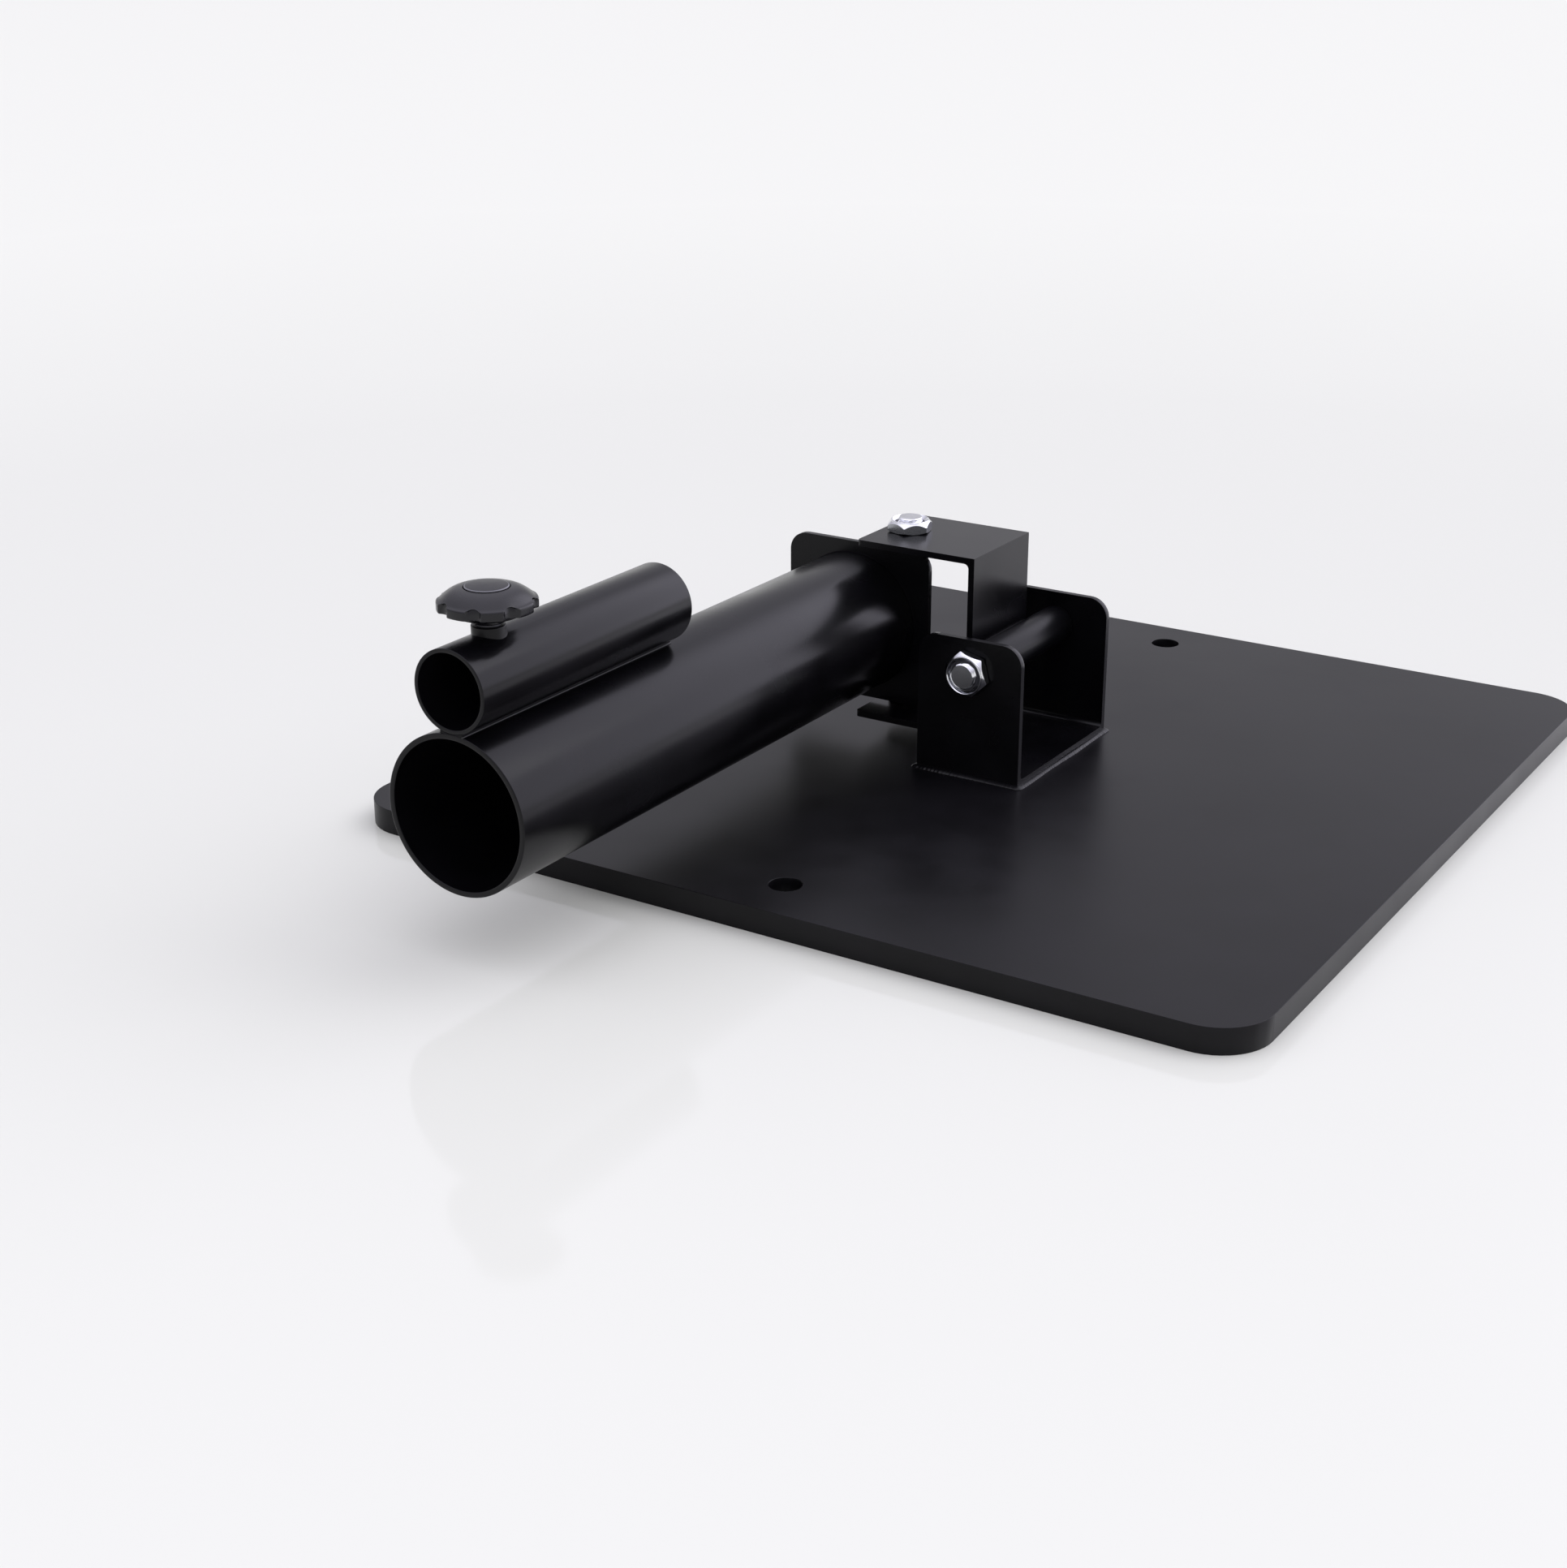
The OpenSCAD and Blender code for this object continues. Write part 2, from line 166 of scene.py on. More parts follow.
class Nodes:
    """The node tree of a material or a world, with short calls."""

    def __init__(self, owner, output="ShaderNodeOutputMaterial"):
        owner.use_nodes = True
        self.owner = owner
        self.tree = owner.node_tree
        self.tree.nodes.clear()
        self.surface = self.add(output).inputs["Surface"]

    def add(self, kind, inputs=None, **settings):
        made = self.tree.nodes.new(kind)
        for key, value in settings.items():
            setattr(made, key, value)
        for key, value in (inputs or {}).items():
            self.put(made.inputs[key], value)
        return made

    def put(self, socket, value):
        if isinstance(value, bpy.types.NodeSocket):
            self.tree.links.new(value, socket)
        else:
            socket.default_value = value

    def math(self, operation, a, b, clamp=False):
        made = self.add("ShaderNodeMath", {0: a, 1: b}, operation=operation, use_clamp=clamp)
        return made.outputs[0]

    def weigh(self, a, share_a, b, share_b):
        """The sum of two values, each times its share."""
        part_a = self.math("MULTIPLY", a, share_a)
        return self.math("ADD", part_a, self.math("MULTIPLY", b, share_b))

    def noise(self, scale, detail, roughness, stretch=None):
        place = self.add("ShaderNodeTexCoord").outputs["Object"]
        if stretch:
            place = self.add("ShaderNodeMapping", {"Vector": place, "Scale": stretch}).outputs[0]
        made = self.add("ShaderNodeTexNoise",
                        {"Vector": place, "Scale": scale, "Detail": detail, "Roughness": roughness})
        return made.outputs["Fac"]

    def span(self, value, low, high, to_low=0.0, to_high=1.0, curve="LINEAR"):
        made = self.add("ShaderNodeMapRange",
                        {"Value": value, "From Min": low, "From Max": high,
                         "To Min": to_low, "To Max": to_high}, interpolation_type=curve)
        return made.outputs["Result"]

    def mix(self, share, a, b):
        return self.add("ShaderNodeMix", {"Factor": share, 6: a, 7: b}, data_type="RGBA").outputs[2]

    def dot(self, a, b):
        made = self.add("ShaderNodeVectorMath", {0: a, 1: b}, operation="DOT_PRODUCT")
        return made.outputs["Value"]

    def edge_mask(self, radius):
        """1 along sharp outer edges, 0 on the faces."""
        soft = self.add("ShaderNodeBevel", {"Radius": radius}, samples=6).outputs["Normal"]
        flat = self.add("ShaderNodeNewGeometry").outputs["Normal"]
        bend = self.math("SUBTRACT", 1.0, self.dot(soft, flat))
        return self.span(bend, 0.06, 0.3)

    def bump(self, height, strength, distance, normal=None):
        inputs = {"Height": height, "Strength": strength, "Distance": distance}
        if normal is not None:
            inputs["Normal"] = normal
        return self.add("ShaderNodeBump", inputs).outputs["Normal"]

    def finish(self, **inputs):
        shader = self.add("ShaderNodeBsdfPrincipled",
                          {key.replace("_", " "): value for key, value in inputs.items()})
        self.put(self.surface, shader.outputs[0])
        return self.owner


# Materials. rough is the range that the roughness wanders over

NOISE_MIDDLE = (0.35, 0.65)
WORN_PAINT = (0.16, 0.16, 0.165, 1)
RUBBED_PLATING = (0.95, 0.95, 0.96, 1)
RUBBED_PLASTIC = (0.09, 0.09, 0.09, 1)


def tinted(base, factor):
    """A colour made darker or lighter."""
    return tuple(factor * c for c in base) + (1,)


def black_paint(name, base, rough, specular, peel=0.05, wear=0.5):
    """Semi-gloss black coat: orange peel, faint smears in the gloss, thinner coat along edges."""
    n = Nodes(bpy.data.materials.new(name))
    smear = n.noise(scale=14, detail=2, roughness=0.4)
    cloud = n.noise(scale=55, detail=2, roughness=0.4)
    gloss = n.span(n.weigh(smear, 0.7, cloud, 0.3), *NOISE_MIDDLE, *rough)
    chips = n.span(n.noise(scale=420, detail=5, roughness=0.7), 0.56, 0.66)
    edge = n.math("MULTIPLY", n.edge_mask(0.5 * MM), chips)
    colour = n.mix(n.span(cloud, *NOISE_MIDDLE), tinted(base, 0.8), tinted(base, 1.25))
    colour = n.mix(n.math("MULTIPLY", edge, wear), colour, WORN_PAINT)
    gloss = n.math("ADD", gloss, n.math("MULTIPLY", edge, 0.08), clamp=True)
    grain = n.bump(n.noise(scale=1500, detail=3, roughness=0.6), peel * 0.5, 0.02 * MM)
    normal = n.bump(n.noise(scale=260, detail=3, roughness=0.5), peel, 0.05 * MM, grain)
    return n.finish(Base_Color=colour, Roughness=gloss, Normal=normal, Specular_IOR_Level=specular)


def plated(name, base, rough):
    """Plating with faint hairlines, small stains and rubbed edges."""
    n = Nodes(bpy.data.materials.new(name))
    stain = n.noise(scale=180, detail=5, roughness=0.65)
    hair = n.noise(scale=900, detail=2, roughness=0.5, stretch=(1, 1, 9))
    gloss = n.span(n.weigh(stain, 0.6, hair, 0.4), 0.35, 0.7, *rough)
    colour = n.mix(n.span(stain, 0.5, 0.75), tinted(base, 1), tinted(base, 0.72))
    colour = n.mix(n.math("MULTIPLY", n.edge_mask(0.25 * MM), 0.4), colour, RUBBED_PLATING)
    normal = n.bump(hair, 0.08, 0.02 * MM)
    return n.finish(Base_Color=colour, Metallic=1.0, Roughness=gloss, Normal=normal)


def moulded(name, base, rough, grain, specular=0.5):
    """Moulded plastic: a fine spark-eroded grain, rubbed smoother along its edges."""
    n = Nodes(bpy.data.materials.new(name))
    patch = n.noise(scale=90, detail=4, roughness=0.6)
    edge = n.edge_mask(0.6 * MM)
    gloss = n.span(patch, *NOISE_MIDDLE, *rough)
    gloss = n.math("SUBTRACT", gloss, n.math("MULTIPLY", edge, 0.12), clamp=True)
    colour = n.mix(n.span(patch, *NOISE_MIDDLE), tinted(base, 0.85), tinted(base, 1.2))
    colour = n.mix(n.math("MULTIPLY", edge, 0.25), colour, RUBBED_PLASTIC)
    normal = n.bump(n.noise(scale=2600, detail=2, roughness=0.5), grain, 0.02 * MM)
    return n.finish(Base_Color=colour, Roughness=gloss, Normal=normal, Specular_IOR_Level=specular)


PAINT = (0.0022, 0.0021, 0.0028)
PLATE_PAINT = (0.0035, 0.0033, 0.0042)
coat = black_paint("black_coat", PAINT, rough=(0.20, 0.31), specular=0.215, wear=0.07)
sleeve_coat = black_paint("sleeve_coat", PAINT, rough=(0.24, 0.34), specular=0.12, wear=0.07)
# Rough enough throughout: where the gloss crosses about 0.27, the render shows dark outlines
plate_coat = black_paint("plate_coat", PLATE_PAINT, rough=(0.285, 0.36), specular=0.19, peel=0.03)
weld_coat = black_paint("weld_coat", PAINT, rough=(0.24, 0.36), specular=0.12, peel=0.2, wear=0.2)
ridge_coat = black_paint("ridge_coat", PAINT, rough=(0.26, 0.36), specular=0.45, peel=0.1,
                         wear=0.2)
dull_coat = black_paint("dull_coat", PAINT, rough=(0.5, 0.6), specular=0.03, peel=0.1, wear=0)
chrome = plated("bright_plating", (0.80, 0.81, 0.84), rough=(0.06, 0.18))
nylon = moulded("nylon_ring", (0.035, 0.035, 0.042), rough=(0.35, 0.5), grain=0.15)
knob_black = moulded("knob_plastic", (0.0045, 0.0043, 0.006), rough=(0.22, 0.32), grain=0.15,
                     specular=0.38)
# Lighter plastic for the cap's rounded rim: a painted highlight
cap_rim_painted_highlight = moulded("cap_rim_painted_highlight", (0.15, 0.15, 0.165), rough=(0.3, 0.4), grain=0.1, specular=0.4)
cap_black = moulded("cap_plastic", (0.0065, 0.0062, 0.0085), rough=(0.26, 0.36), grain=0.12,
                    specular=0.34)
# Dark plating on the clamp screw: painted shade for the gap between the hub and the knob's neck
gap_shade_steel = plated("screw_steel_painted_shade", (0.12, 0.12, 0.13), rough=(0.3, 0.45))
# Darker plating for the nuts' hex flats: painted shade, standing in for the dark surfaces they
# reflect
nut_flats_shade_plating = plated("nut_flats_painted_shade", (0.36, 0.37, 0.39), rough=(0.16, 0.3))
brass = plated("machined_brass", (0.78, 0.60, 0.30), rough=(0.22, 0.38))

SLOT_LOOK = {"black_paint": coat, "painted_weld": weld_coat, "zinc_chrome": chrome, "nylon": nylon,
             "black_plastic": knob_black, "cap_plastic": cap_black, "brass": brass}
NODE_LOOK = {"base_plate": plate_coat, "clamp_screw": gap_shade_steel}


# CAD nodes: finish and softened edges

EDGE_WIDTH = {"base_plate": 0.9 * MM, "foot_bracket": 0.3 * MM, "yoke_bracket": 0.3 * MM,
              "swivel_plate": 0.3 * MM, "joining_strip": 0.25 * MM, "pivot_washer": 0.25 * MM,
              "swivel_washer": 0.25 * MM}
SPLIT_GAP = 0.002 * MM
SOFT_EDGE_ANGLE = 30


def soften(obj, width):
    """Joins split corners, then rounds the sharp edges."""
    weld = obj.modifiers.new("weld", "WELD")
    weld.merge_threshold = SPLIT_GAP
    bevel = obj.modifiers.new("edge", "BEVEL")
    bevel.width = width
    bevel.segments = 3
    bevel.limit_method = "ANGLE"
    bevel.angle_limit = math.radians(SOFT_EDGE_ANGLE)
    bevel.use_clamp_overlap = True
    bevel.harden_normals = True
    bevel.miter_outer = "MITER_ARC"


for part in frame["record"]["subparts"]:
    node = part["node"]
    nodes[node].data.materials.clear()
    nodes[node].data.materials.append(NODE_LOOK.get(node, SLOT_LOOK[part["material_slot"]]))
    if node in EDGE_WIDTH:
        soften(nodes[node], EDGE_WIDTH[node])


# Clamp knob and its cap

class Knob:
    """Sizes of the clamp knob, read from its CAD nodes. Heights are in the CAD frame."""
    grip_low, grip_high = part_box("knob_grip")
    cap_low, cap_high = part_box("knob_cap")
    axis = (cap_low + cap_high) / 2
    radius = (grip_high.y - grip_low.y) / 2 + 0.1 * MM
    cap_radius = (cap_high.x - cap_low.x) / 2
    bottom = grip_low.z
    crown = grip_high.z
    neck_radius = 5.75 * MM
    neck_round = 0.4 * MM
    neck_top = bottom + 1.6 * MM
    skirt_low = bottom + 2.5 * MM
    skirt_round = 0.3 * MM
    skirt_radius = radius - 5.3 * MM
    skirt_top_radius = radius - 2.8 * MM
    rim_low = bottom + 4.5 * MM
    rim_low_round = 0.35 * MM
    rim_top = crown - 3.7 * MM
    top_round = 0.8 * MM
    crisp_round = 0.12 * MM
    lobes = 8
    steps = lobes * 32
    scallop_radius = 3.8 * MM
    scallop_depth = 1.5 * MM
    scallop_blend = 0.2 * MM
    scallop_start = 0.4 * MM
    roof = 0.65 * MM
    swell = 0.9 * MM
    dome_inner = cap_radius + 0.5 * MM
    groove_radius = cap_radius + 0.18 * MM
    disc_radius = cap_radius - 0.12 * MM
    disc_depth = 1.2 * MM
    disc_steps = 96
    disc_rise = 0.32 * MM


def knob_rows(rounds, angles):
    """Rows round the knob's axis. rounds has a list of radii and heights for each angle."""
    return [[(Knob.axis.x + spots[k][0] * math.cos(a), Knob.axis.y + spots[k][0] * math.sin(a),
              spots[k][1]) for a, spots in zip(angles, rounds)] for k in range(len(rounds[0]))]


def knob_outline(angle):
    """Radius of the lobed rim at an angle, softened where the scallops meet the lobes."""
    pitch = 2 * math.pi / Knob.lobes
    off = angle % pitch - pitch / 2
    centre = Knob.radius - Knob.scallop_depth + Knob.scallop_radius
    across = centre * math.sin(off)
    if abs(across) >= Knob.scallop_radius:
        return Knob.radius
    cut = centre * math.cos(off) - math.sqrt(Knob.scallop_radius ** 2 - across ** 2)
    blend = Knob.scallop_blend
    gap = max(blend - abs(cut - Knob.radius), 0) / blend
    return min(cut, Knob.radius) - gap * gap * blend / 4


def dome_height(radius):
    """Height of the revolved top: a shallow dome with a rounded rim, before the scallops."""
    outer = Knob.radius - Knob.top_round
    if radius > outer:
        fall = math.sqrt(max(Knob.top_round ** 2 - (radius - outer) ** 2, 0))
        return Knob.rim_top - Knob.top_round + fall
    t = (outer - radius) / (outer - Knob.dome_inner)
    bulge = Knob.swell * math.sin(math.pi * min(t, 1))
    return Knob.rim_top + (Knob.crown - Knob.rim_top) * t + bulge


def scalloped(rim):
    """0 on a lobe, 1 well inside a scallop."""
    return min((Knob.radius - rim) / Knob.scallop_start, 1)


def rim_round(rim):
    """Width of the rounded top edge: full on a lobe, crisp where a scallop cuts the dome."""
    return Knob.top_round + (Knob.crisp_round - Knob.top_round) * scalloped(rim)


def knob_profile(rim):
    """Radii and heights from the neck's foot to the cap's groove, for one radius of the rim."""
    neck = Knob.neck_radius
    spots = [(neck - Knob.neck_round, Knob.bottom), (neck, Knob.bottom + Knob.neck_round),
             (neck, Knob.neck_top)]
    flare = Knob.skirt_radius - Knob.skirt_round - neck
    for t in (0.15, 0.5, 0.85, 1.0):
        rise = (Knob.skirt_low - Knob.neck_top) * (1 - math.cos(t * math.pi / 2))
        spots.append((neck + flare * t, Knob.neck_top + rise))
    spots += [(Knob.skirt_radius, Knob.skirt_low + Knob.skirt_round),
              (Knob.skirt_top_radius, Knob.rim_low)]
    for a in arc_steps(3):
        spots.append((rim - Knob.rim_low_round * (1 - math.sin(a)),
                      Knob.rim_low + Knob.rim_low_round * (1 - math.cos(a))))
    # The scallop's wall is set back under its crisp upper edge
    for back, drop in ((0.35, 1.5 * MM), (1.0, 0.5 * MM)):
        spots.append((rim - Knob.roof * back * scalloped(rim), dome_height(rim) - drop))
    edge = rim_round(rim)
    over = [rim - edge * (1 - math.cos(a)) for a in arc_steps(6)]
    start = rim - edge
    over += [start + (Knob.dome_inner - start) * (k / 12) for k in range(1, 13)]
    spots += [(radius, dome_height(radius)) for radius in over]
    return spots + [(Knob.groove_radius + 0.12 * MM, Knob.crown),
                    (Knob.groove_radius, Knob.crown - 0.15 * MM),
                    (Knob.groove_radius, Knob.crown - 0.9 * MM)]


def knob_grip():
    """Eight-lobed grip with a neck, a conical underside and a dome that the scallops cut."""
    angles = turns(Knob.steps)
    rows = knob_rows([knob_profile(knob_outline(a)) for a in angles], angles)
    return link_mesh("knob_lobed_grip", ring_mesh(rows), knob_black, 50)


def knob_disc():
    """Inlaid cap with a rounded rim, painted lighter as a highlight, and a slightly raised middle.
    """
    radius, rise = Knob.disc_radius, Knob.disc_rise
    top = Knob.cap_high.z
    profile = [(radius, Knob.crown - Knob.disc_depth)]
    for a in arc_steps(4):
        profile.append((radius - rise * (1 - math.cos(a)), top - rise - rise * (1 - math.sin(a))))
    for t in (0.15, 0.4, 0.7, 0.95):
        profile.append(((radius - rise) * (1 - t), top - rise * (1 - t) ** 2))
    rows = knob_rows([profile] * Knob.disc_steps, turns(Knob.disc_steps))
    disc = link_mesh("knob_cap_disc", ring_mesh(rows), cap_black, 50)
    # The rounded rim gets the lighter plastic: a painted highlight
    second_look(disc, cap_rim_painted_highlight, slice(Knob.disc_steps, 5 * Knob.disc_steps))
    return disc


stand_for(knob_grip(), "knob", "black_plastic", "knob_grip")
stand_for(knob_disc(), "knob", "cap_plastic", "knob_cap")


# Bolts and lock nuts

BOLT_RADIUS = 5 * MM
SHANK_SLACK = 0.01 * MM
SHANK_STEPS = 48
THREAD_PITCH = 1.5 * MM
THREAD_DEPTH = 0.75 * MM
THREAD_LENGTH = 24 * MM
END_CUT = 0.4 * MM
HEX_FLATS = 16 * MM
HEX_CORNER = HEX_FLATS / 2 / math.cos(math.pi / 6)
CORNER_ROUND = 0.09 * MM
HEX_STEPS = 144
HEX_ANGLES = turns(HEX_STEPS)
CONE_BACK = 0.12 * MM
PIVOT_HEAD = 6.4 * MM
SWIVEL_HEAD = 4.0 * MM
HEAD_FACE = HEX_FLATS / 2 * 0.95
HEAD_SLOPE = 0.55
HEAD_SINK = 0.5 * MM
HEAD_FOOT_CUT = 0.15 * MM
HEAD_ROUND = 0.1 * MM


def threaded_rod(name, start, end, radius):
    """A rod from start to end whose last stretch has a helical thread and a chamfered point."""
    axis = (end - start).normalized()
    side = axis.orthogonal().normalized()
    other = axis.cross(side)
    length = (end - start).length
    plain = length - THREAD_LENGTH
    step = THREAD_PITCH / 10
    heights = [0.0, plain]
    heights += [plain + step * k for k in range(1, int(THREAD_LENGTH / step))] + [length]
    rows = []
    for h in heights:
        row = []
        for k in range(SHANK_STEPS):
            turn = k / SHANK_STEPS
            wave = ((h - plain) / THREAD_PITCH - turn) % 1.0
            start_in = min(1, max(0, (h - plain) / THREAD_PITCH))
            cut = THREAD_DEPTH * (1 - abs(2 * wave - 1)) * start_in
            reach = min(radius - cut, radius - END_CUT + max(0.0, length - h))
            a = 2 * math.pi * turn
            row.append(start + axis * h + (side * math.cos(a) + other * math.sin(a)) * reach)
        rows.append(row)
    return link_mesh(name, ring_mesh(rows), chrome, 40)


def hexagon(angle):
    """Radius of the hexagon: a slightly rounded corner at 0, the middle of a flat at 30 degrees."""
    off = angle % (math.pi / 3) - math.pi / 6
    return min(HEX_FLATS / 2 / math.cos(off), HEX_CORNER - CORNER_ROUND)


def hex_rows(centre, along, side, outline):
    """Rows round an axis. outline(hexagon radius) gives a list of radii and heights."""
    other = along.cross(side)
    rounds = [outline(hexagon(a)) for a in HEX_ANGLES]
    return [[centre + along * spots[k][1] + (side * math.cos(a) + other * math.sin(a)) * spots[k][0]
             for a, spots in zip(HEX_ANGLES, rounds)] for k in range(len(rounds[0]))]


def hex_head(name, centre, along, side, height):
    """A hexagon head from centre along its axis, its outer face turned down to a circle."""
    def outline(r):
        top = height - (r - HEAD_FACE) * HEAD_SLOPE - HEAD_ROUND
        return [(r - HEAD_FOOT_CUT, 0), (r, HEAD_FOOT_CUT), (r, top - HEAD_ROUND),
                (r - CONE_BACK, top + HEAD_ROUND / 2),
                (HEAD_FACE + HEAD_ROUND, height - HEAD_ROUND),
                (HEAD_FACE - 3 * HEAD_ROUND, height)]

    rows = hex_rows(centre, along, side, outline)
    return link_mesh(name, ring_mesh(rows), chrome, 20)


NUT_FOOT = HEX_FLATS / 2 * 0.97
NUT_FOOT_SLOPE = 0.5
NUT_ROUND = 0.1 * MM
NUT_HEX = 4.4 * MM
NUT_CONE = 1.05
NUT_TOP = 4.8 * MM
NUT_RIM = 7.6 * MM
NUT_RIM_ROUND = 0.35 * MM
NUT_RIM_WIDTH = 0.6 * MM
NUT_LIP = 5.9 * MM
NUT_LIP_LEVEL = NUT_TOP - 1.2 * MM
NUT_LIP_THICK = 0.5 * MM
NUT_BORE = 5.03 * MM
RING_THICK = 1.2 * MM
RING_ROUND = 0.2 * MM
RING_STEPS = 72


def nut_outline(r):
    """Radii and heights of the lock nut at one radius of its hexagon, from its bore outwards."""
    wall_top = NUT_HEX - (r - NUT_RIM) * NUT_CONE
    low = max(0.0, (r - NUT_FOOT) * NUT_FOOT_SLOPE)
    spots = [(NUT_BORE, 0), (NUT_FOOT, 0), (r - NUT_ROUND, low), (r, low + NUT_ROUND),
             (r, wall_top - 0.08 * MM), (r - CONE_BACK, wall_top + NUT_ROUND),
             (NUT_RIM + 0.04 * MM, NUT_HEX - 0.05 * MM)]
    for a in arc_steps(4):
        spots.append((NUT_RIM - NUT_RIM_ROUND * (1 - math.cos(a)),
                      NUT_TOP - NUT_RIM_ROUND * (1 - math.sin(a))))
    inner = NUT_RIM - NUT_RIM_WIDTH
    return spots + [(inner + 0.12 * MM, NUT_TOP), (inner, NUT_TOP - NUT_ROUND),
                    (NUT_LIP + 0.3 * MM, NUT_LIP_LEVEL + 0.08 * MM), (NUT_LIP, NUT_LIP_LEVEL),
                    (NUT_LIP, NUT_LIP_LEVEL - NUT_LIP_THICK),
                    (NUT_BORE, NUT_LIP_LEVEL - NUT_LIP_THICK)]


def lock_nut(name, node, body, seat, along, corner_side):
    """Low lock nut on its seat: hexagon, turned cone, round rim with a lip over a nylon ring."""
    side, _ = axis_frame(along, corner_side)
    nut = link_mesh(name, closed_rows(hex_rows(seat, along, side, nut_outline)), chrome, 20)
    # The hex flats take the darker plating: painted shade
    second_look(nut, nut_flats_shade_plating, slice(2 * HEX_STEPS, 4 * HEX_STEPS))
    stand_for(nut, body, "zinc_chrome", node)
    top = NUT_LIP_LEVEL - 0.05 * MM
    edge = NUT_LIP - 0.02 * MM
    profile = [(NUT_BORE, top - RING_THICK), (edge, top - RING_THICK), (edge, top - RING_ROUND),
               (edge - RING_ROUND, top), (NUT_BORE + 0.1 * MM, top), (NUT_BORE, top - 0.1 * MM)]
    ring = lathe(name + "_ring", seat, along, profile, RING_STEPS, nylon)
    stand_for(ring, body, "nylon", node + "_ring")


def bolt(name, node, body, along, low, high, head_height):
    """A hexagon bolt in place of a CAD bolt: low and high are the two ends of its axis."""
    neck = low + along * head_height
    rod = threaded_rod(name + "_shank", neck - along * HEAD_SINK, high, BOLT_RADIUS - SHANK_SLACK)
    stand_for(rod, body, "zinc_chrome", node)
    head = hex_head(name + "_head", neck, -along, axis_frame(along, ACROSS)[0], head_height)
    stand_for(head, body, "zinc_chrome")


# Turn of each nut's corners, in degrees, as photographed
PIVOT_TURN = -14
SWIVEL_TURN = -15

pivot_low, pivot_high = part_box("pivot_bolt")
pivot_mid = mid("pivot_bolt")
foot_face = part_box("foot_bracket")[0].y
bolt("pivot", "pivot_bolt", "base", NEAR, Vector((pivot_mid.x, pivot_high.y, pivot_mid.z)),
     Vector((pivot_mid.x, pivot_low.y, pivot_mid.z)), PIVOT_HEAD)
lock_nut("pivot_lock_nut", "pivot_nut", "base", Vector((pivot_mid.x, foot_face, pivot_mid.z)), NEAR,
         swung(ACROSS, NEAR, PIVOT_TURN))
swivel_low, swivel_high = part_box("swivel_bolt")
swivel_mid = mid("swivel_bolt")
yoke_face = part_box("yoke_bracket")[1].z
bolt("swivel", "swivel_bolt", "yoke", SKY, Vector((swivel_mid.x, swivel_mid.y, swivel_low.z)),
     Vector((swivel_mid.x, swivel_mid.y, swivel_high.z)), SWIVEL_HEAD)
lock_nut("swivel_lock_nut", "swivel_nut", "yoke", Vector((swivel_mid.x, swivel_mid.y, yoke_face)),
         SKY, swung(ACROSS, SKY, SWIVEL_TURN))


# Tubes and sleeves, turned with fine steps and rounded rims

SOCKET_BORE = 26 * MM
TUBE_BORE = 12.75 * MM
SLEEVE_BORE = 5.05 * MM
THICK_RIM = 0.4 * MM
THIN_RIM = 0.3 * MM
SCREW_HOLE = 4.2 * MM
SCREW_HOLE_REACH = 20 * MM
SCREW_HOLE_STEPS = 64


def tube_ring(outer, inner, length, rim):
    """Closed profile of a tube from 0 to length with its four rims rounded."""
    quarter = [(math.sin(a), 1 - math.cos(a)) for a in arc_steps(4)]
    ring = [(outer - rim + rim * across, rim * rise) for across, rise in quarter]
    ring += [(outer - rim + rim * across, length - rim * rise)
             for across, rise in reversed(quarter)]
    ring += [(inner + rim - rim * across, length - rim * rise) for across, rise in quarter]
    ring += [(inner + rim - rim * across, rim * rise) for across, rise in reversed(quarter)]
    return ring


def tube(name, node, body, along, bore, rim, segments, look=coat):
    """A tube in place of a CAD tube, with the CAD node's length and outer size."""
    low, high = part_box(node)
    size = high - low
    length = abs(size.dot(along))
    outer = (size.x + size.y + size.z - length) / 4
    start = (low + high) / 2 - along * length / 2
    made = lathe(name, start, along, tube_ring(outer, bore, length, rim), segments, look, 30)
    return stand_for(made, body, "black_paint", node)


def drill(obj, centre, along, radius, reach, segments):
    """Cuts a round hole through an object, then marks its sharp edges anew."""
    side, other = axis_frame(along, along.orthogonal())
    angles = turns(segments)
    rows = [circle(centre + along * h, side, other, radius, angles) for h in (0, reach)]
    cutter = link_mesh("cutter", ring_mesh(rows), coat)
    cut = obj.modifiers.new("hole", "BOOLEAN")
    cut.object = cutter
    cut.solver = "EXACT"
    bpy.context.view_layer.update()
    drilled = obj.evaluated_get(bpy.context.evaluated_depsgraph_get())
    made = bpy.data.meshes.new_from_object(drilled)
    obj.modifiers.clear()
    bpy.data.objects.remove(cutter)
    bm = bmesh.new()
    bm.from_mesh(made)
    mark_sharp(bm, 30)
    bm.to_mesh(obj.data)
    bm.free()
    bpy.data.meshes.remove(made)


tube("socket_pipe", "bar_socket", "socket", NEAR, SOCKET_BORE, THICK_RIM, 192)
small_pipe = tube("small_pipe", "bar_tube", "socket", NEAR, TUBE_BORE, THIN_RIM, 144)
drill(small_pipe, Vector((Knob.axis.x, Knob.axis.y, mid("bar_tube").z)), SKY, SCREW_HOLE,
      SCREW_HOLE_REACH, SCREW_HOLE_STEPS)
tube("pivot_pipe", "pivot_sleeve", "yoke", NEAR, SLEEVE_BORE, THICK_RIM, 96, sleeve_coat)
tube("swivel_pipe", "swivel_sleeve", "socket", SKY, SLEEVE_BORE, THICK_RIM, 96)


# Threaded hub of the clamp screw

HUB_STEPS = 96
HUB_FILLET = 0.15 * MM
HUB_SINK = 0.15 * MM
HUB_RIM = 0.3 * MM
HUB_BORE = 4.06 * MM


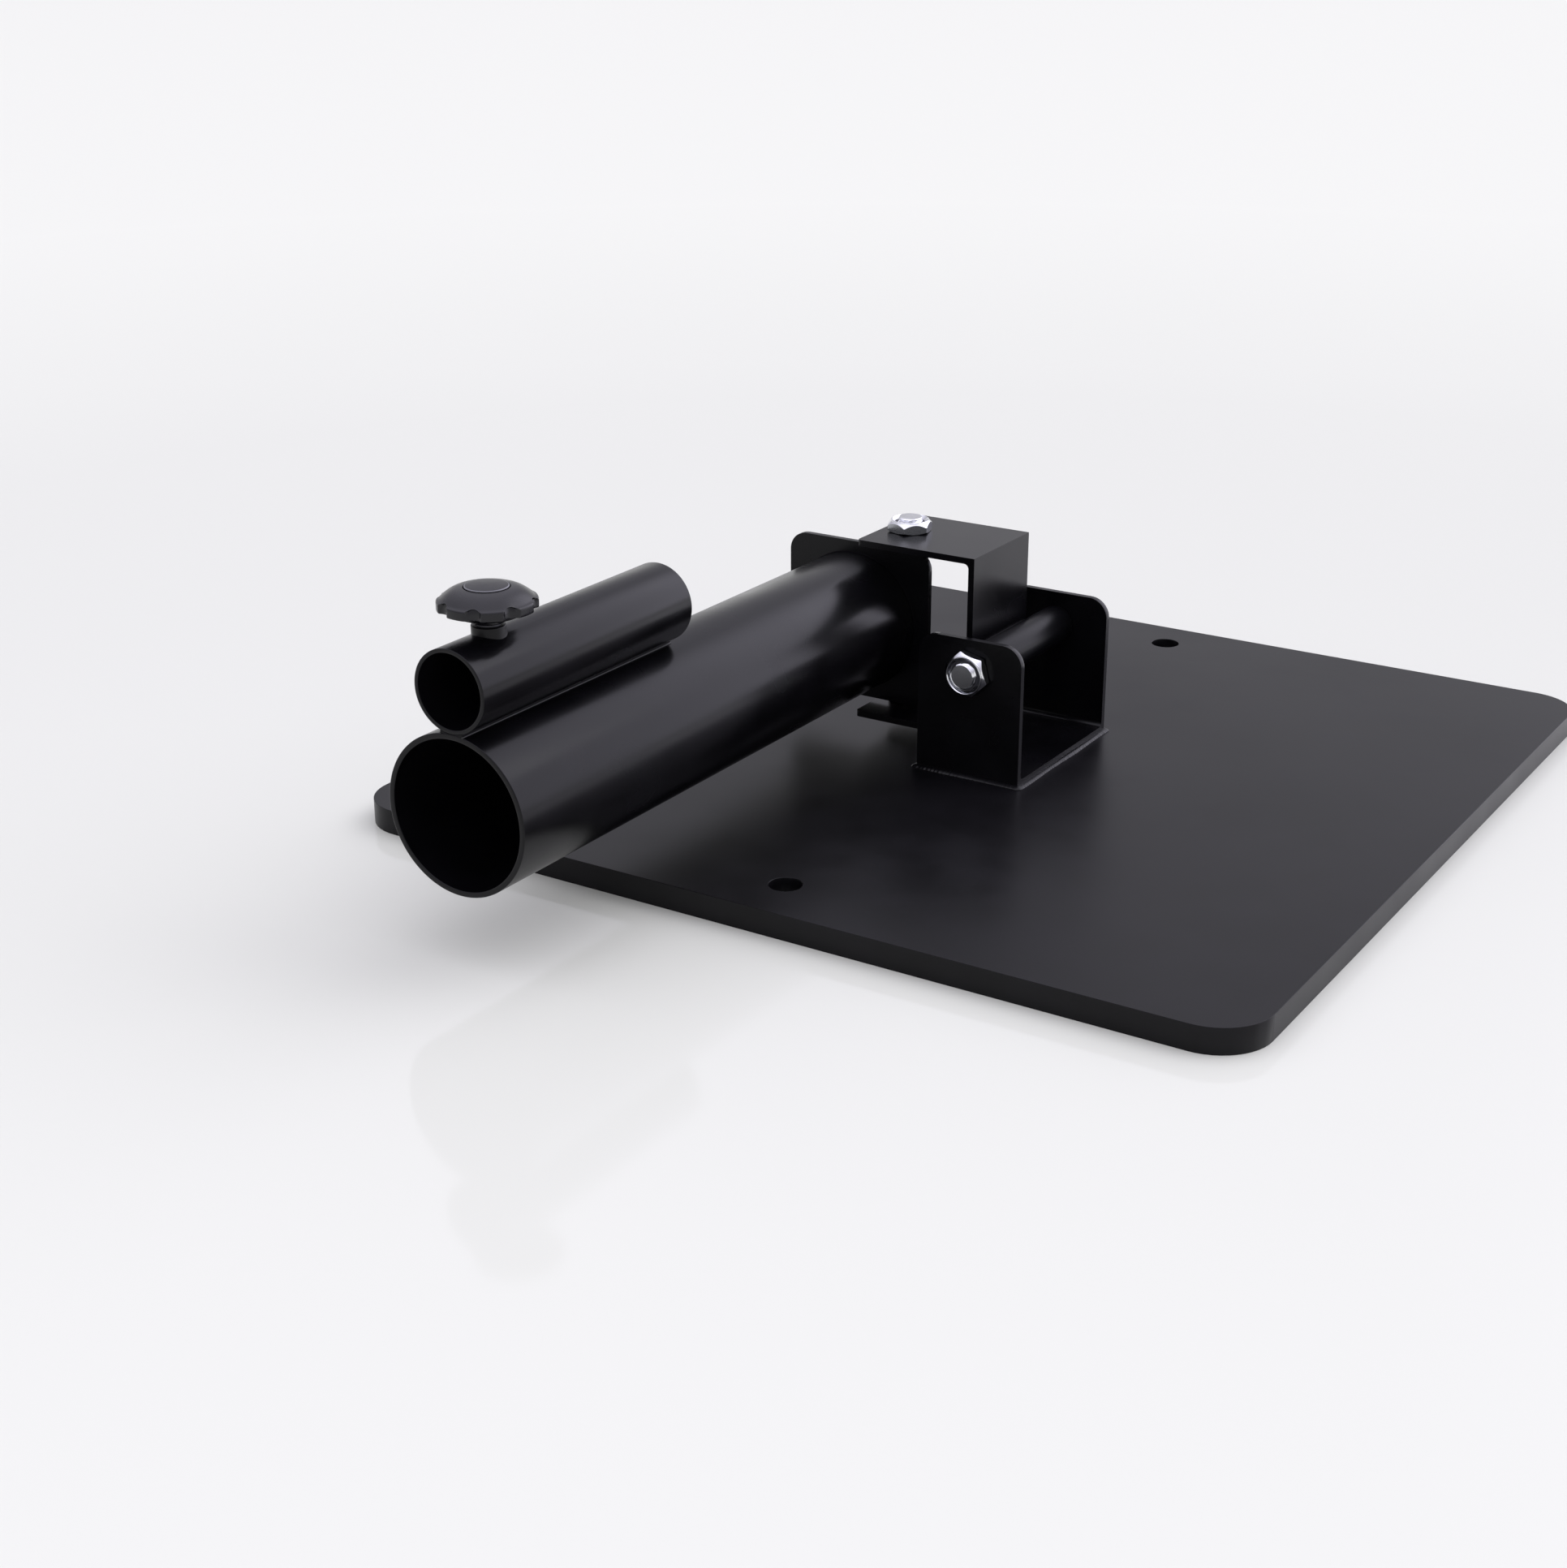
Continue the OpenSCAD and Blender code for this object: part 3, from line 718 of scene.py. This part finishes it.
def hub():
    """Threaded hub on the small tube, its foot shaped to the tube and joined with a fine fillet."""
    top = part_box("clamp_boss")[1].z
    radius = Knob.neck_radius
    tube_low, tube_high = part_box("bar_tube")
    tube_radius = (tube_high.x - tube_low.x) / 2
    tube_middle = (tube_low.z + tube_high.z) / 2

    def saddle(r, a):
        return tube_middle + math.sqrt(tube_radius ** 2 - (r * math.cos(a)) ** 2)

    def profile(a):
        foot = radius + HUB_FILLET
        spots = [(foot, saddle(foot, a) - HUB_SINK)]
        for t in arc_steps(4):
            spots.append((radius + HUB_FILLET * (1 - math.sin(t)),
                          saddle(radius, a) + HUB_FILLET * (1 - math.cos(t))))
        for t in arc_steps(3):
            spots.append((radius - HUB_RIM * (1 - math.cos(t)), top - HUB_RIM * (1 - math.sin(t))))
        return spots + [(HUB_BORE, top)]

    angles = turns(HUB_STEPS)
    rows = knob_rows([profile(a) for a in angles], angles)
    return link_mesh("clamp_hub", ring_mesh(rows), coat, 50)


stand_for(hub(), "socket", "black_paint", "clamp_boss")


# Weld beads, laid in small overlapping steps

BEAD_STEP = 0.4 * MM
RIPPLE_LENGTH = 1.7 * MM
SWAY_LENGTH = 40 * MM
FOOT_LEG = 2.2 * MM
SOCKET_LEG = 0.4 * MM
SOCKET_BEAD_STEPS = 440
SOCKET_BEAD_SINK = 0.05 * MM
# A low, slightly bellied section, and a plain flat one, both in legs
FOOT_BEAD_SHAPE = ((0, 0), (1.0, 0), (1.02, 0.05), (0.98, 0.12), (0.8, 0.25), (0.55, 0.38),
                   (0.3, 0.46), (0, 0.5))
FLAT_BEAD_SHAPE = ((0, 0), (1, 0), (0.8, 0.25), (0.5, 0.5), (0.25, 0.8), (0, 1))


def bead(name, path, side_a, side_b, leg, shape, material, seed, sway=0.0):
    """A closed bead along a path, its shape in legs along the two faces' directions."""
    draw = random.Random(seed)
    rows = []
    travelled = 0.0
    wander = [draw.uniform(-1, 1) for _ in range(len(path) + 4)]
    for k, place in enumerate(path):
        if k:
            travelled += (place - path[k - 1]).length
        ripple = abs(math.sin(math.pi * travelled / RIPPLE_LENGTH)) ** 0.6
        drift = sum(wander[k:k + 4]) / 4
        swing = sway * math.sin(2 * math.pi * travelled / SWAY_LENGTH)
        size = leg * (0.93 + 0.07 * ripple + 0.06 * drift + swing)
        rows.append([place + (side_a[k] * across + side_b[k] * rise) * size
                     for across, rise in shape])
    return link_mesh(name, closed_rows(rows), material, 60)


def along_line(start, end, step):
    count = max(2, int((end - start).length / step))
    return [start + (end - start) * k / count for k in range(count + 1)]


def foot_bead():
    """Round the foot bracket, on the plate, with the corners turned in small arcs."""
    low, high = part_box("foot_bracket")
    corners = [Vector((low.x, low.y, low.z)), Vector((high.x, low.y, low.z)),
               Vector((high.x, high.y, low.z)), Vector((low.x, high.y, low.z))]
    outward = [NEAR, ACROSS, -NEAR, -ACROSS]
    path, out = [], []
    for k in range(4):
        corner, face = corners[(k + 1) % 4], outward[(k + 1) % 4]
        line = along_line(corners[k], corner, BEAD_STEP)
        path += line
        out += [outward[k]] * len(line)
        for t in (0.2, 0.4, 0.6, 0.8):
            path.append(corner)
            out.append((outward[k] * (1 - t) + face * t).normalized())
    up = [SKY] * len(path)
    return bead("foot_bead", path, out, up, FOOT_LEG, FOOT_BEAD_SHAPE, coat, seed=3, sway=0.1)


def socket_bead():
    """Round the big tube, against the swivel plate."""
    low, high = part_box("bar_socket")
    centre = Vector(((low.x + high.x) / 2, high.y, (low.z + high.z) / 2))
    radius = (high.x - low.x) / 2
    out = [Vector((math.cos(a), 0, math.sin(a))) for a in turns(SOCKET_BEAD_STEPS)]
    path = [centre + o * (radius - SOCKET_BEAD_SINK) for o in out]
    back = [NEAR] * len(path)
    return bead("socket_bead", path, out, back, SOCKET_LEG, FLAT_BEAD_SHAPE, dull_coat, seed=5)


stand_for(foot_bead(), "base", "painted_weld", "foot_weld")
stand_for(socket_bead(), "socket", "painted_weld", "socket_weld")


# Fine ridges along both sides of the joining strip

RIDGE_RADIUS = 0.32 * MM
RIDGE_LIFT = 0.12 * MM
RIDGE_STEP = 1.5 * MM
RIDGE_SIDES = 16


def strip_ridge(name, side):
    """The joining strip's fine ridge along the big tube, on its +X side (1) or -X side (-1)."""
    low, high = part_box("joining_strip")
    tube_low, tube_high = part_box("bar_socket")
    tube_x = (tube_low.x + tube_high.x) / 2
    tube_z = (tube_low.z + tube_high.z) / 2
    x = (high.x if side > 0 else low.x) - tube_x
    z = tube_z + math.sqrt(((tube_high.x - tube_low.x) / 2) ** 2 - x * x) + RIDGE_LIFT
    ends = Vector((tube_x + x, low.y, z)), Vector((tube_x + x, high.y, z))
    section = [Vector((math.cos(a), 0, math.sin(a))) * RIDGE_RADIUS for a in turns(RIDGE_SIDES)]
    rows = [[place + spot for spot in section] for place in along_line(*ends, RIDGE_STEP)]
    return link_mesh(name, ring_mesh(rows), ridge_coat, 50)


stand_for(strip_ridge("strip_ridge_right", 1), "socket", "painted_weld")
stand_for(strip_ridge("strip_ridge_left", -1), "socket", "painted_weld")


# Camera, at the photograph's place

IMAGE_SIDE_PX = 1932
FOCAL_PX = 2949.06
SENSOR_MM = 36
CAM_PLACE = Vector((408.976, -794.971, 345.584)) * MM
FORWARD = Vector((-0.503, 0.782, -0.367)).normalized()
RIGHT = Vector((0.842, 0.540, -0.002))
RIGHT = (RIGHT - FORWARD * RIGHT.dot(FORWARD)).normalized()
UP = RIGHT.cross(FORWARD)

cam_data = bpy.data.cameras.new("camera")
cam_data.sensor_width = SENSOR_MM
cam_data.lens = FOCAL_PX / IMAGE_SIDE_PX * SENSOR_MM
cam_data.clip_start = 0.01
cam_data.clip_end = 100
camera = link_object("camera", cam_data)
camera_turn = Matrix((RIGHT, UP, -FORWARD)).transposed().to_4x4()
camera.matrix_world = Matrix.Translation(CAM_PLACE) @ camera_turn
bpy.context.scene.camera = camera


# Floor, glossy near the part and plain further off

FLOOR_HALF = 30
FLOOR_COLOUR = (0.695, 0.706, 0.630, 1)
GLOSS_NEAR = 0.7
GLOSS_FAR = 1.6


def floor_look():
    n = Nodes(bpy.data.materials.new("floor_look"))
    rough = n.span(n.noise(scale=3, detail=2, roughness=0.5), 0.3, 0.7, 0.05, 0.09)
    place = n.add("ShaderNodeTexCoord").outputs["Object"]
    away = n.add("ShaderNodeVectorMath", {0: place}, operation="LENGTH").outputs["Value"]
    far = n.span(away, GLOSS_NEAR, GLOSS_FAR)
    glossy = n.add("ShaderNodeBsdfPrincipled", {"Base Color": FLOOR_COLOUR, "Roughness": rough,
                                                "Specular IOR Level": 0.3})
    plain = n.add("ShaderNodeBsdfDiffuse", {"Color": FLOOR_COLOUR})
    both = n.add("ShaderNodeMixShader", {0: far, 1: glossy.outputs[0], 2: plain.outputs[0]})
    n.put(n.surface, both.outputs[0])
    return n.owner


floor_bm = bmesh.new()
bmesh.ops.create_grid(floor_bm, x_segments=1, y_segments=1, size=FLOOR_HALF)
link_mesh("floor", floor_bm, floor_look())


# Studio light: a pale sky with a soft box, and one lamp

# Heights of the sky's steps (sine of the elevation) and their colours
SKY_STEPS = ((0.0, (0.90, 0.90, 0.90)), (0.14, (0.87, 0.87, 0.88)), (0.27, (0.60, 0.59, 0.64)),
             (0.38, (0.54, 0.53, 0.60)), (0.70, (1.05, 1.03, 1.18)), (1.0, (1.70, 1.66, 1.92)))
# The soft box: its direction, its colour, and the cosines where it starts and is full
BOX_DIRECTION = Vector((0.545, 0.75, 0.42)).normalized()
BOX_COLOUR = (2.2, 2.15, 2.48, 1)
BOX_EDGE = 0.68
BOX_FULL = 0.93
KEY_PLACE = Vector((6.6, 4.8, 9.0))
KEY_TARGET = Vector((-0.02, -0.05, 0.05))
KEY_SIZE = 6.0
KEY_POWER = 110


def studio_world():
    """Pale sky, brighter overhead, with one broad soft box low at the back right."""
    n = Nodes(bpy.data.worlds.new("studio"), "ShaderNodeOutputWorld")
    direction = n.add("ShaderNodeTexCoord").outputs["Generated"]
    height = n.add("ShaderNodeSeparateXYZ", {0: direction}).outputs["Z"]
    ramp = n.add("ShaderNodeValToRGB", {0: height})
    steps = ramp.color_ramp.elements
    for k in (0, -1):
        steps[k].position = SKY_STEPS[k][0]
        steps[k].color = SKY_STEPS[k][1] + (1,)
    for place, colour in SKY_STEPS[1:-1]:
        steps.new(place).color = colour + (1,)
    box = n.span(n.dot(direction, BOX_DIRECTION), BOX_EDGE, BOX_FULL, curve="SMOOTHSTEP")
    sky = n.mix(box, ramp.outputs[0], BOX_COLOUR)
    n.put(n.surface, n.add("ShaderNodeBackground", {"Color": sky}).outputs[0])
    return n.owner


bpy.context.scene.world = studio_world()

key_data = bpy.data.lights.new("key", "AREA")
key_data.shape = "RECTANGLE"
key_data.size = KEY_SIZE
key_data.size_y = KEY_SIZE
key_data.energy = KEY_POWER
key = link_object("key", key_data)
key.location = KEY_PLACE
key.rotation_mode = "QUATERNION"
key.rotation_quaternion = (KEY_TARGET - KEY_PLACE).to_track_quat("-Z", "Y")

bpy.context.scene.view_settings.view_transform = "Standard"
